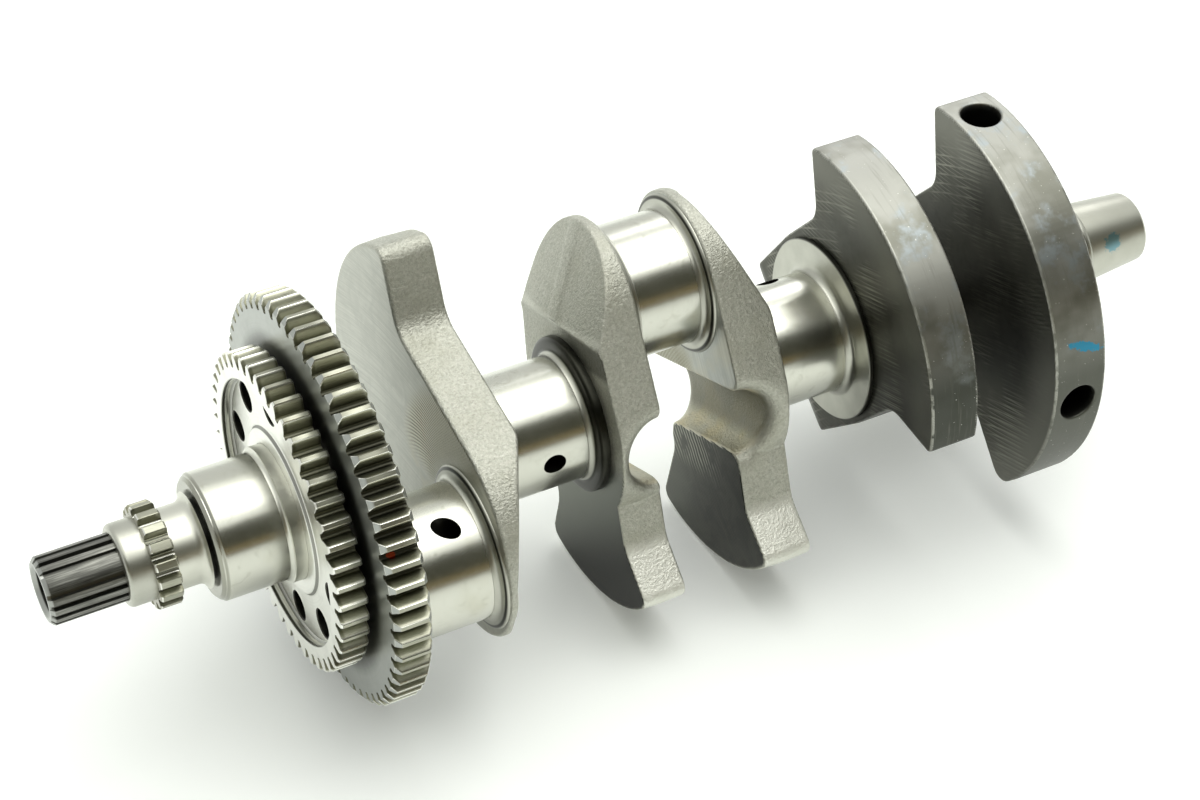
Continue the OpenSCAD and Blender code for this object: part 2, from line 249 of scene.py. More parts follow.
class Paint(Nodes):
    """A material whose nodes read the place of a point on the crank, in millimetres."""

    def __init__(self, name, metallic=1.0):
        self.material = bpy.data.materials.new(name)
        self.material.use_nodes = True
        super().__init__(self.material.node_tree)
        self.shader = self.tree.nodes["Principled BSDF"]
        self.shader.inputs["Metallic"].default_value = metallic
        scale = self.new("VectorMath", self.new("TexCoord").outputs["Object"], operation="SCALE")
        scale.inputs["Scale"].default_value = 1 / MM
        self.place = scale.outputs[0]
        self.x, self.y, self.z = self.split(self.place)
        self.height = None

    def combine(self, x, y, z):
        return self.new("CombineXYZ", x, y, z).outputs[0]

    def noise(self, size, detail=2.0, rough=0.5, place=None, twist=0.0):
        """Cloudy noise from 0 to 1, with patches of that size."""
        made = self.new("TexNoise", self.place if place is None else place)
        settings = {"Scale": 1 / size, "Detail": detail, "Roughness": rough, "Distortion": twist}
        for name, value in settings.items():
            made.inputs[name].default_value = value
        return made.outputs["Fac"]

    def drawn_out(self, size, share, detail=2.0, rough=0.5):
        """Noise drawn out round the crank, as turning and grinding leave it."""
        place = self.combine(self.x, self.times(self.y, share), self.times(self.z, share))
        return self.noise(size, detail, rough, place)

    def radius(self, centre=(0, 0)):
        """Distance from an axis along X through centre."""
        return self.length(self.less(self.y, centre[0]), self.less(self.z, centre[1]))

    def turn(self):
        """Angle about the crank's axis, in radians."""
        return self.calc("ARCTAN2", self.z, self.y)

    def normal(self):
        return self.split(self.new("NewGeometry").outputs["True Normal"])

    def facing(self):
        """How far the surface faces along X, from 0 to 1."""
        return self.calc("ABSOLUTE", self.normal()[0])

    def outward(self):
        """How far the surface faces away from the crank's axis, from -1 to 1."""
        _, y, z = self.normal()
        along = self.add(self.times(y, self.y), self.times(z, self.z))
        return self.calc("DIVIDE", along, self.radius())

    def grooves(self, value, pitch, wander=0.0):
        """Waves from 0 to 1 along value, one every pitch."""
        phase = self.add(self.times(value, 2 * pi / pitch), wander)
        return self.scaled(self.calc("SINE", phase), 0.5, 0.5)

    def raise_by(self, height, *masks):
        """Raises the bump by a height in millimetres times the product of the masks."""
        raised = self.times(*masks, height)
        self.height = raised if self.height is None else self.add(self.height, raised)

    def done(self, colour, roughness):
        self.feed(self.shader.inputs["Base Color"], colour)
        self.feed(self.shader.inputs["Roughness"], roughness)
        if self.height is not None:
            bump = self.new("Bump")
            bump.inputs["Distance"].default_value = MM
            self.feed(bump.inputs["Height"], self.height)
            self.feed(self.shader.inputs["Normal"], bump.outputs[0])
        return self.material


def dimmed(colour, share):
    return tuple(share * part for part in colour)


def polished_steel():
    """Ground and polished journals: fine grinding lines round the axis, with faint stains."""
    p = Paint("ground_steel")
    lines = p.drawn_out(0.12, 0.02, 3, 0.6)
    clouds = p.noise(9, 4, 0.6)
    stain = p.step(p.noise(22, 3), 0.56, 0.72)
    colour = p.mix(p.times(stain, 0.5), (0.61, 0.61, 0.545), (0.49, 0.48, 0.38))
    colour = p.over(colour, (0.42, 0.415, 0.36), p.step(lines, 0.62, 0.8), 0.3)
    smudge = p.times(p.step(p.noise(5, 4, 0.6, twist=1.5), 0.55, 0.72), 0.35)
    colour = p.over(colour, (0.4, 0.4, 0.33), smudge)
    colour = p.over(colour, (0.34, 0.34, 0.29), p.step(p.facing(), 0.3, 0.8))
    p.raise_by(0.0012, lines)
    rough = p.add(p.times(clouds, 0.1), p.times(lines, 0.06))
    return p.done(colour, p.add(rough, 0.15))


def satin_steel(name, bright, dull, own_marks_and_shade, relief=0.004, rough=(0.15, 0.27)):
    """Satin turned steel with tool lines round the axis. own_marks_and_shade(p, colour) adds what only it
    has, such as specks, a paint dab, or painted shade in the neck's undercut.
    """
    p = Paint(name)
    clouds = p.noise(7, 3)
    p.raise_by(relief, p.drawn_out(0.3, 0.03))
    return p.done(own_marks_and_shade(p, p.mix(clouds, bright, dull)), p.scaled(clouds, *rough))


def dull_specks(p, colour):
    return p.over(colour, (0.25, 0.24, 0.2), p.step(p.noise(0.8, 2), 0.66, 0.74), 0.35)


def undercut_painted_shade(p, colour):
    # painted shade: the floor of the undercut groove is coloured near-black
    return p.over(colour, (0.02, 0.02, 0.018), p.step(p.x, UNDERCUT_X - 0.05, UNDERCUT_X + 0.05))


def blue_taper_dab(p, colour):
    return dab(p, colour, (0.04, 0.3, 0.42), END_X - 14, 3.2, 155, 15, 0.0, 0.6)


def nose_steel():
    """Dark hardened splines, with lengthwise rubbing and brighter crests."""
    p = Paint("dark_steel")
    rubbing = p.noise(0.45, 3, 0.6, p.combine(p.times(p.x, 0.04), p.y, p.z))
    clouds = p.noise(6, 3)
    crest = p.times(p.step(p.radius(), 9.4, 9.95), p.step(rubbing, 0.42, 0.7))
    colour = p.mix(clouds, (0.1, 0.1, 0.095), (0.175, 0.175, 0.155))
    colour = p.over(colour, (0.36, 0.36, 0.33), crest, 0.7)
    chamfer = p.step(p.x, NOSE_X + 1.3, NOSE_X + 0.9)
    colour = p.over(colour, (0.45, 0.46, 0.44), chamfer, 0.7)
    p.raise_by(0.012, rubbing)
    return p.done(colour, p.scaled(clouds, 0.1, 0.28))


def gear_steel(name, root_r, tip_r, x0, x1, bright_face, shadow_r=0, mark=None):
    """Gear steel: olive-dark flanks worn bright where they mesh, and turned faces."""
    p = Paint(name)
    radius = p.radius()
    face = p.step(p.facing(), 0.55, 0.8)
    middle = p.band(p.x, x0 + 1.2, x1 - 0.7, 0.4)
    outward = p.outward()
    near_tip = p.step(radius, tip_r - 2.6, tip_r - 2.2)
    land = p.times(near_tip, p.step(outward, 0.85, 0.93))
    tip_edge_wear_and_highlight = p.times(near_tip, p.band(outward, 0.56, 0.84, 0.04))
    clouds = p.noise(3.5, 4, 0.6)
    lengthwise = p.noise(0.35, 3, 0.65, p.combine(p.times(p.x, 0.08), p.y, p.z))
    flank = p.mix(clouds, (0.15, 0.15, 0.105), (0.26, 0.26, 0.19))
    flank = p.over(flank, (0.38, 0.38, 0.3), middle, p.step(radius, root_r + 0.8, root_r + 2.4))
    flank = p.over(flank, (0.1, 0.1, 0.07), p.step(lengthwise, 0.5, 0.75), 0.5)
    # painted shade: near-black in the tooth roots
    flank = p.over(flank, (0.06, 0.06, 0.045), p.step(radius, root_r + 0.9, root_r + 0.1))
    flank = p.over(flank, p.mix(lengthwise, (0.5, 0.5, 0.42), (0.27, 0.27, 0.205)), land)
    # bright deburred tip edges, whitened further as a painted highlight
    flank = p.over(flank, (0.84, 0.84, 0.78), tip_edge_wear_and_highlight)
    rings = p.noise(0.5, 2, 0.6, p.combine(radius, 0.0, 0.0))
    side = p.mix(rings, bright_face, dimmed(bright_face, 0.82))
    side = p.over(side, dimmed(bright_face, 0.7), p.step(p.noise(6, 3), 0.5, 0.75), 0.4)
    p.raise_by(0.02, lengthwise, p.inverse(face))
    p.raise_by(0.006, rings, face)
    rough = p.blend(tip_edge_wear_and_highlight, 0.38, 0.24)
    # painted shadow: the face darkens inside the balancer gear's rim, close to it
    shaded = p.times(p.step(radius, shadow_r + 6, shadow_r), p.step(p.away(p.x, x0), 3, 1))
    side = p.over(side, (0.03, 0.03, 0.024), shaded, 0.85)
    colour = p.mix(face, flank, side)
    if mark is not None:
        colour = dab(p, colour, (0.42, 0.06, 0.02), *mark)
    return p.done(colour, p.blend(face, rough, p.scaled(clouds, 0.12, 0.3)))


def painted_shade_steel():
    # painted shade: near-black steel for the shoulder between the gears and the walls of drilled holes
    p = Paint("painted_shade_steel")
    mottle = p.noise(5, 4)
    return p.done(p.mix(mottle, (0.035, 0.034, 0.03), (0.075, 0.073, 0.06)), p.scaled(mottle, 0.2, 0.3))


def along_and_across(p, angle):
    """Distances from the crank's axis along a direction at that angle and across it."""
    a = radians(angle)
    u = p.add(p.times(p.y, cos(a)), p.times(p.z, sin(a)))
    v = p.less(p.times(p.z, cos(a)), p.times(p.y, sin(a)))
    return u, v


def point_distance(p, u, v, at_u, at_v):
    return p.length(p.less(u, at_u), p.less(v, at_v))


def forged_paint(name, k, x0, pin_face, plane_colour, valley=False, ridge=False):
    """Shot-blasted forging with its two faces milled flat. pin_face is -1 if the pin is at x0."""
    p = Paint(name, metallic=0.96)
    u, v = along_and_across(p, pin_angle(k))
    x1 = x0 + WEB_T
    face = p.step(p.facing(), 0.93, 0.985)
    near_0 = p.times(face, p.step(p.away(p.x, x0), 0.25, 0.12))
    near_1 = p.times(face, p.step(p.away(p.x, x1), 0.25, 0.12))
    plane = p.add(near_0, near_1)
    lobe = p.step(u, -14, -6)
    if ridge:
        near_front = p.step(p.away(p.x, x0), 3.2, 2.4)
        smooth = p.times(face, near_front, p.inverse(lobe))
        plane = p.calc("MAXIMUM", plane, smooth)

    grain = p.noise(0.95, 4, 0.65)
    fine = p.noise(0.5, 3, 0.6)
    patches = p.noise(14, 3)
    skin = p.mix(p.step(grain, 0.35, 0.65), (0.4, 0.4, 0.345), (0.51, 0.51, 0.45))
    skin = p.over(skin, (0.8, 0.8, 0.74), p.step(fine, 0.56, 0.7), 0.35)
    skin = p.over(skin, (0.2, 0.2, 0.165), p.step(fine, 0.44, 0.32), 0.3)
    skin = p.over(skin, (0.42, 0.415, 0.34), p.step(patches, 0.45, 0.7), 0.3)

    if ridge:
        front = p.times(p.step(p.facing(), 0.5, 0.8), near_front)
        # painted shade on the front face below the ridge
        shade_below_ridge = p.times(p.band(u, 19, RIDGE_U - 1.4, 1.2), p.step(v, -2, 9))
        skin = p.over(skin, (0.06, 0.06, 0.048), front, shade_below_ridge, 0.75)
        # lighter crest line along the ridge: edge wear and painted highlight
        crest = p.times(front, p.band(u, RIDGE_U - 1.0, RIDGE_U + 1.2, 0.9))
        skin = p.over(skin, (0.74, 0.74, 0.67), crest, 0.45)
    if valley:
        rim = p.step(p.facing(), 0.7, 0.4)
        # painted light: a near-white band on the counterweight's flanks; painted shade at its lower end
        skin = p.over(skin, (0.86, 0.86, 0.79), p.band(u, -56, -37, 2.5), rim, 0.8)
        skin = p.over(skin, (0.3, 0.3, 0.24), p.step(u, -55, -58), rim, 0.5)
        tilt = radians(VALLEY_TURN)
        across = p.less(p.times(p.less(u, VALLEY_U), cos(tilt)), p.times(v, -sin(tilt)))
        along = p.less(p.x, x0 if pin_face < 0 else x1)
        axis_r = p.length(across, along)
        in_valley = p.times(p.step(axis_r, VALLEY_R + 1.4, VALLEY_R + 0.5), p.inverse(plane))
        blasted = p.mix(p.step(p.noise(13, 3), 0.42, 0.6), (0.55, 0.53, 0.42), (0.6, 0.54, 0.36))
        blasted = p.over(blasted, (0.27, 0.26, 0.2), p.step(grain, 0.5, 0.7), 0.5)
        # painted shade deeper in the valley
        deep_shade = p.step(p.calc("ABSOLUTE", along), 5, 9)
        blasted = p.over(blasted, (0.12, 0.119, 0.092), deep_shade, 0.8)
        skin = p.over(skin, blasted, in_valley, 0.92)
        edge = p.band(axis_r, VALLEY_R + 0.3, VALLEY_R + 1.0, 0.3)
        skin = p.over(skin, (0.8, 0.79, 0.73), edge, 0.3)

    arcs = point_distance(p, u, v, 40, 150)
    drift = p.times(p.noise(20, 2), 3.0)
    cuts = p.grooves(arcs, 1.1, drift)
    scratches = p.noise(0.5, 3, 0.6, p.combine(arcs, 0.0, p.times(v, 0.03)))
    wear = p.step(p.noise(9, 4, 0.65, twist=1.0), 0.4, 0.65)
    cut = p.mix(p.step(scratches, 0.35, 0.65), plane_colour, dimmed(plane_colour, 0.8))
    cut = p.over(cut, dimmed(plane_colour, 0.7), wear, 0.4)
    if valley:
        # painted shade: the milled face between the webs is near-black, lighter towards one side
        dark = p.mix(p.step(scratches, 0.45, 0.7), (0.013, 0.013, 0.009), (0.036, 0.036, 0.024))
        dark = p.over(dark, (0.056, 0.058, 0.043), wear, 0.5)
        dark = p.over(dark, (0.105, 0.11, 0.09), p.step(v, 0, -26), 0.6)
        lines = p.step(p.grooves(p.add(v, p.times(u, 0.45)), 2.1, p.times(p.noise(7, 2), 6.0)), 0.55, 0.95)
        marked = p.times(p.band(u, -33, -19, 4), p.step(p.noise(6, 2), 0.3, 0.5), p.step(v, 14, -2))
        dark = p.over(dark, (0.34, 0.34, 0.28), marked, lines, 0.85)
        cut = p.over(cut, dark, p.inverse(lobe), 0.95)
    if ridge:
        # painted shade: the smooth front face of the counterweight darkens downwards
        low = p.step(p.less(u, p.times(v, 0.4)), -22, -54)
        cut = p.over(cut, p.mix(low, (0.155, 0.165, 0.138), (0.013, 0.013, 0.01)), smooth)
    fan_r = point_distance(p, u, v, THROW, 0)
    fan_turn = p.calc("ARCTAN2", v, p.less(u, THROW))
    fan = p.step(p.grooves(p.add(fan_turn, p.times(fan_r, 0.022)), 0.04), 0.3, 0.8)
    fan_zone = p.times(p.band(fan_r, 26, 45, 4), p.step(p.calc("COSINE", p.add(fan_turn, 2.38)), 0.6, 0.85))
    near_pin = near_0 if pin_face < 0 else near_1
    fan_mask = p.times(near_pin, fan_zone)
    brown = p.times(p.band(fan_r, 26, 43, 4), p.step(p.noise(13, 2), 0.42, 0.6))
    cut = p.over(cut, (0.5, 0.46, 0.33), brown, 0.35)
    cut = p.over(cut, (0.56, 0.53, 0.39), fan_mask, 0.7)
    cut = p.over(cut, (0.15, 0.145, 0.11), fan_mask, fan)

    p.raise_by(0.4, p.inverse(plane), grain)
    p.raise_by(0.18, p.inverse(plane), fine)
    p.raise_by(0.01, plane, cuts)
    p.raise_by(0.02, plane, scratches)
    p.raise_by(0.12, fan_mask, fan)
    rough = p.blend(plane, p.scaled(patches, 0.12, 0.36), 0.4)
    return p.done(p.mix(plane, skin, cut), rough)


def milled_paint(name, k, x0, thickness, outer_r, low_z, rim_low_shade, shade, holes=(), mark=None):
    """A web milled all over: faces painted near-black as shade, with cutter arcs, and a lighter rim, painted
    dark low down as shade, with bright edges, partly wear and partly painted highlight.
    """
    p = Paint(name)
    u, v = along_and_across(p, pin_angle(k))
    x1 = x0 + thickness
    depth = p.calc("MINIMUM", p.away(p.x, x0), p.away(p.x, x1))
    facing = p.facing()
    face = p.step(facing, 0.75, 0.95)
    edge = p.times(p.band(facing, 0.2, 0.9, 0.12), p.step(depth, 1.5, 1.0))

    one = point_distance(p, u, v, -90, 95)
    other = point_distance(p, u, v, 30, -130)
    wander = p.times(p.noise(22, 2), 2.5)
    arcs = p.grooves(one, 1.4, wander)
    cross = p.grooves(other, 3.0, wander)
    strength = p.step(p.noise(18, 2), 0.42, 0.66)
    mottle = p.noise(11, 4, 0.6)
    # painted shade: the milled faces are coloured near-black
    side = p.mix(mottle, (0.026, 0.026, 0.021), (0.11, 0.11, 0.09))
    # painted shade across the middle height of the face, as deep as shade asks
    middle = p.times(p.band(p.z, -12, 26, 12), shade)
    side = p.over(side, (0.01, 0.01, 0.008), middle)
    strength = p.times(strength, p.inverse(middle))
    side = p.over(side, (0.24, 0.24, 0.2), p.step(p.calc("MAXIMUM", arcs, cross), 0.86, 0.99), strength, 0.8)
    # painted light: the faces lighten towards the outer edge
    near_tip = p.step(p.radius(), outer_r - 20, outer_r - 3)
    side = p.over(side, (0.22, 0.22, 0.19), near_tip, 0.6)

    tool = p.drawn_out(1.3, 0.06, 3, 0.6)
    clouds = p.noise(17, 3)
    rim = p.mix(p.step(clouds, 0.35, 0.65), (0.2, 0.2, 0.17), (0.34, 0.34, 0.31))
    # painted shade: the rim goes near-black towards the bottom
    rim = p.over(rim, rim_low_shade, p.step(p.z, low_z + 26, low_z), 0.9)
    rim = p.over(rim, (0.32, 0.35, 0.36), p.step(p.noise(11, 4, 0.6), 0.52, 0.7), p.step(p.z, 8, 40))
    rim = p.over(rim, (0.16, 0.16, 0.135), p.step(tool, 0.55, 0.75), 0.4)
    specks = p.step(p.noise(0.7, 1), 0.74, 0.79)
    rim = p.over(rim, (0.75, 0.74, 0.69), specks, 0.6)

    p.raise_by(0.06, face, arcs, strength)
    p.raise_by(0.05, face, cross, strength)
    p.raise_by(0.02, p.inverse(face), tool)
    colour = p.mix(face, rim, side)
    for angle in holes:
        outward, beside = along_and_across(p, angle)
        off_axis = p.length(p.less(p.x, x0 + thickness / 2), beside)
        # painted shade inside the balance holes
        hole_shade = p.times(p.step(off_axis, BALANCE_HOLE_R + 0.5, BALANCE_HOLE_R + 0.2),
                        p.band(outward, 35, 70, 1), p.step(p.radius(), outer_r - 0.5, outer_r - 3.0))
        colour = p.over(colour, (0.03, 0.03, 0.024), hole_shade, 0.92)
    # bright edges: wear, with painted highlight stronger towards the top
    edge_wear_and_highlight = p.times(p.step(p.noise(3, 3), 0.35, 0.55), p.blend(p.step(p.z, -15, 20), 0.3, 1.0))
    colour = p.over(colour, (0.4, 0.4, 0.36), edge, edge_wear_and_highlight)
    rough = p.blend(face, p.scaled(clouds, 0.14, 0.36), p.scaled(mottle, 0.15, 0.36))
    if mark is not None:
        colour = dab(p, colour, *mark)
    return p.done(colour, rough)


def ring_paint(name, r, centre, shade_from, shade_to, light=(0.5, 0.5, 0.44)):
    """Ground fillets beside a surface of radius r, with painted shade between two heights above it."""
    p = Paint(name)
    lines = p.drawn_out(0.25, 0.05, 2, 0.6)
    clouds = p.noise(6, 3)
    height = p.less(p.radius(centre), r)
    colour = p.mix(clouds, light, dimmed(light, 0.76))
    dark = p.mix(clouds, (0.014, 0.014, 0.011), (0.05, 0.05, 0.04))
    # painted shade: near-black band between the two heights
    colour = p.over(colour, dark, p.band(height, shade_from, shade_to, 0.3))
    p.raise_by(0.003, lines)
    return p.done(colour, p.scaled(clouds, 0.12, 0.26))


def dab(p, colour, paint, x_mid, x_half, angle, angle_half, slant, cover=0.9):
    """Marking paint wiped on a round surface: colour with a worn dab at that angle."""
    along = p.less(p.x, x_mid)
    around = p.less(p.less(p.turn(), radians(angle)), p.times(along, slant))
    dx = p.calc("DIVIDE", along, x_half)
    da = p.calc("DIVIDE", around, radians(angle_half))
    reach = p.add(p.length(dx, da), p.times(p.less(p.noise(1.8, 4, 0.65), 0.5), 2.2))
    return p.mix(p.times(p.step(reach, 1.1, 0.75), cover), colour, paint)


# ---- Meshes ----

def new_object(name, data):
    obj = bpy.data.objects.new(name, data)
    bpy.context.scene.collection.objects.link(obj)
    return obj


def add_piece(name, shape, material, stands_for=None, angle=SHARP_ANGLE, normals=None):
    """Makes a mesh of shape, its (points, faces), which stands for a CAD node, or that of its own name."""
    points, faces = shape
    mesh = bpy.data.meshes.new(name)
    mesh.from_pydata((np.asarray(points, dtype=float) * MM).tolist(), [], faces)
    mesh.validate()
    mesh.polygons.foreach_set("use_smooth", [True] * len(mesh.polygons))
    if normals is None:
        mesh.set_sharp_from_angle(angle=radians(angle))
    else:
        mesh.normals_split_custom_set_from_vertices(normals.tolist())
    mesh.materials.append(material)
    obj = new_object(name, mesh)
    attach(obj, "root")
    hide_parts(stands_for or name)
    return obj


def rounded(profile, radius):
    """Rounds the corners of a line of (x, r) points with three points each."""
    out = [profile[0]]
    for before, at, after in zip(profile, profile[1:], profile[2:]):
        before, at, after = np.array(before), np.array(at), np.array(after)
        back = before - at
        on = after - at
        reach = min(radius, norm(back) * 0.45, norm(on) * 0.45)
        start = at + back / norm(back) * reach
        stop = at + on / norm(on) * reach
        bend = abs(np.cross(back, on)) / (norm(back) * norm(on))
        if bend < 0.25 or min(before[1], at[1], after[1]) < 0.01:
            out.append(tuple(at))
            continue
        out.extend([tuple(start), tuple(0.25 * start + 0.5 * at + 0.25 * stop), tuple(stop)])
    out.append(profile[-1])
    return out


def arc(cx, cr, radius, start, stop, count):
    """Points of an arc in the (x, r) plane."""
    angles = np.radians(np.linspace(start, stop, count + 1))
    return [(cx + radius * cos(a), cr + radius * sin(a)) for a in angles]


def lathe(profile, centre=(0, 0), columns=192):
    """Turns a line of (x, r) points about an axis along X. Ends on the axis close it."""
    angles = np.linspace(0, 2 * pi, columns, endpoint=False)
    points = []
    rings = []
    for x, r in profile:
        if r < 1e-6:
            rings.append([len(points)] * columns)
            points.append((x, centre[0], centre[1]))
        else:
            rings.append(range(len(points), len(points) + columns))
            points.extend((x, centre[0] + r * cos(a), centre[1] + r * sin(a)) for a in angles)
    faces = []
    for low, high in zip(rings, rings[1:]):
        for i in range(columns):
            j = (i + 1) % columns
            corners = [low[i], low[j], high[j], high[i]]
            faces.append(list(dict.fromkeys(corners)))
    return points, faces


def loft(rows, closed=True):
    """Joins rows of (x, r, angle) points, each a closed line, and the last row to the first if closed."""
    count = len(rows[0])
    points = [(x, r * cos(a), r * sin(a)) for row in rows for x, r, a in row]
    faces = []
    for k in range(len(rows) if closed else len(rows) - 1):
        low, high = k * count, (k + 1) % len(rows) * count
        faces.extend([low + i, low + (i + 1) % count, high + (i + 1) % count, high + i] for i in range(count))
    return points, faces


def turned(name, profile, material, stands_for=None, centre=(0, 0), columns=192,
           angle=SHARP_ANGLE):
    return add_piece(name, lathe(profile, centre, columns), material, stands_for, angle)


def cutter(points, faces):
    """A tool for cut(), which leaves walls painted near-black as shade."""
    mesh = bpy.data.meshes.new("cutter")
    mesh.from_pydata((np.asarray(points) * MM).tolist(), [], faces)
    mesh.materials.append(gap_shade)
    return new_object("cutter", mesh)


def cut(obj, tools):
    """Takes the tools away from obj for good."""
    for tool in tools:
        modifier = obj.modifiers.new("cut", "BOOLEAN")
        modifier.operation = "DIFFERENCE"
        modifier.solver = "EXACT"
        modifier.material_mode = "TRANSFER"
        modifier.object = tool
    shown = obj.evaluated_get(bpy.context.evaluated_depsgraph_get())
    mesh = bpy.data.meshes.new_from_object(shown)
    obj.modifiers.clear()
    obj.data = mesh
    for tool in tools:
        bpy.data.objects.remove(tool)
    mesh.set_sharp_from_angle(angle=radians(SHARP_ANGLE))
    return mesh


def round_normals(mesh, centre, radius, tolerance=0.004):
    """Makes the surface at that radius shade as a true cylinder, whatever was cut into it."""
    cy, cz = centre[0] * MM, centre[1] * MM
    normals = [Vector(n.vector) for n in mesh.corner_normals]
    for polygon in mesh.polygons:
        sideways = abs(polygon.normal.x) < 0.3
        rims = [hypot(mesh.vertices[v].co.y - cy, mesh.vertices[v].co.z - cz) for v in polygon.vertices]
        if sideways and all(abs(r - radius * MM) < tolerance * MM * radius for r in rims):
            for loop, v in zip(polygon.loop_indices, polygon.vertices):
                co = mesh.vertices[v].co
                normals[loop] = Vector((0, co.y - cy, co.z - cz)).normalized()
    mesh.normals_split_custom_set(normals)


def oil_drill(r, centre, x, angle, lean, turn):
    """A drill that enters a surface of radius r, leaning along X or turned from it round the surface."""
    points, faces = lathe([(-r, 0), (-r, OIL_R), (8, OIL_R), (8, 0)], columns=64)
    drill = Matrix.Translation((x, centre[0], centre[1])) @ Matrix.Rotation(radians(angle), 4, "X")
    drill = drill @ Matrix.Translation((0, r, 0)) @ Matrix.Rotation(radians(turn), 4, "Y")
    drill = drill @ Matrix.Rotation(radians(90 + lean), 4, "Z")
    return cutter([drill @ Vector(point) for point in points], faces)


def journal(name, x0, x1, r, centre, hole):
    """A ground cylinder between two planes, with its oil hole as (x, angle, lean, turn)."""
    profile = [(x0, 0), (x0, r), ((x0 + x1) / 2, r), (x1, r), (x1, 0)]
    obj = turned(name, profile, ground, centre=centre, columns=256)
    round_normals(cut(obj, [oil_drill(r, centre, *hole)]), centre, r)


def cheek_ring(name, x, r, side, ring_r, centre, material, stands_for):
    """Raised ring and fillet where a ground surface of radius r grows out of a web face at x."""
    end = RING_STEP + RING_FILLET
    crest = [(-2.5, 0), (-2.5, ring_r), (0.1, ring_r), (0.45, ring_r - 0.15), (0.8, ring_r - 0.6),
             (RING_STEP, ring_r - 1.2)]
    hollow = arc(end, r + RING_FILLET, RING_FILLET, 180, 270, 10)
    profile = crest + hollow + [(end + 0.02, r + 0.01), (end + 0.02, 0)]
    profile = [(x + side * along, height) for along, height in profile]
    turned(name, profile, material, stands_for, centre, angle=40)


# ---- Webs ----

def unit(a):
    a = radians(a)
    return np.array((cos(a), sin(a)))


def arc_points(centre, r, start, stop, count):
    return [np.array(centre) + r * unit(start + (stop - start) * i / count) for i in range(count + 1)]


def corner(before, at, after, r, count):
    """Points that round the corner at a point with radius r."""
    d0 = (before - at) / norm(before - at)
    d1 = (after - at) / norm(after - at)
    half = acos(float(np.clip(d0 @ d1, -1, 1))) / 2
    middle = (d0 + d1) / norm(d0 + d1)
    c = at + middle * r / sin(half)
    start = at + d0 * r / tan(half) - c
    stop = at + d1 * r / tan(half) - c
    a = degrees(atan2(start[1], start[0]))
    turn = degrees(atan2(start[0] * stop[1] - start[1] * stop[0], start @ stop))
    return arc_points(c, r, a, a + turn, count)


def half_web(outer_r, lobe, waist, side, neck, tip_round):
    """Half of a web's outline, from its crankpin end round to its counterweight's corner."""
    lobe_c = LOBE_TIP_U - lobe
    lean = degrees(acos((waist - lobe) / lobe_c))
    lobe_end = np.array((lobe_c, 0)) + lobe * unit(lean)
    root = np.array((-neck / tan(radians(side)), neck))
    tip = outer_r * unit(180 - side)
    waist_end = 180 - degrees(asin(neck / waist)) if neck < waist else 90
    has_waist = root[0] < 0
    before = waist * unit(waist_end) if has_waist else lobe_end
    points = arc_points((lobe_c, 0), lobe, 0, lean, 32)
    if has_waist:
        points += arc_points((0, 0), waist, lean, waist_end, 16)
    points += corner(before, root, tip, ROOT_ROUND, 10)
    points += corner(root, tip, outer_r * unit(180 - side + 2 * tip_round), tip_round, 10)
    return points


def web_outline(outer_r, lobe, waist, side_a, side_b):
    """Each side is (angle of the flank, half width of the neck, rounding of the corner)."""
    a = half_web(outer_r, lobe, waist, *side_a)
    b = half_web(outer_r, lobe, waist, *side_b)
    rim = arc_points((0, 0), outer_r, 180 - side_a[0] + 2 * side_a[2], 180 + side_b[0] - 2 * side_b[2], 90)
    points = a + rim + [point * (1, -1) for point in reversed(b)][:-1]
    kept = [points[0]]
    for point in points[1:]:
        if norm(point - kept[-1]) > 0.02:
            kept.append(point)
    return np.array(kept)


def outline_distance(u, v, outline):
    """Distance of points from a closed outline, below 0 inside it."""
    nearest = np.full(u.shape, 1e9)
    inside = np.zeros(u.shape, dtype=bool)
    for a, b in zip(outline, np.roll(outline, -1, axis=0)):
        e = b - a
        wu, wv = u - a[0], v - a[1]
        t = np.clip((wu * e[0] + wv * e[1]) / (e @ e), 0, 1)
        nearest = np.minimum(nearest, (wu - t * e[0]) ** 2 + (wv - t * e[1]) ** 2)
        crosses = ((a[1] > v) != (b[1] > v)) & (u < (v - a[1]) * e[0] / (e[1] if e[1] else 1e-9) + a[0])
        inside ^= crosses
    return np.sqrt(nearest) * np.where(inside, -1, 1)


def soft_max(a, b, k):
    h = np.maximum(k - np.abs(a - b), 0) / k
    return np.maximum(a, b) + h * h * k / 4


def round_edge(a, b, r):
    """Where both distances are below 0, with its edge rounded to r."""
    a, b = a + r, b + r
    return np.minimum(np.maximum(a, b), 0) + np.hypot(np.maximum(a, 0), np.maximum(b, 0)) - r


def lumps(x, u, v, size):
    """Gentle hammered unevenness, from -1 to 1."""
    total = 0
    for i in range(7):
        a, b = 1.7 * i + 0.4, 2.9 * i + 1.1
        wave = (x * cos(a) + u * sin(a) * cos(b) + v * sin(a) * sin(b)) / size
        total = total + np.sin(wave * 2 * pi * (0.7 + 0.13 * i) + 2.1 * i)
    return total / 7


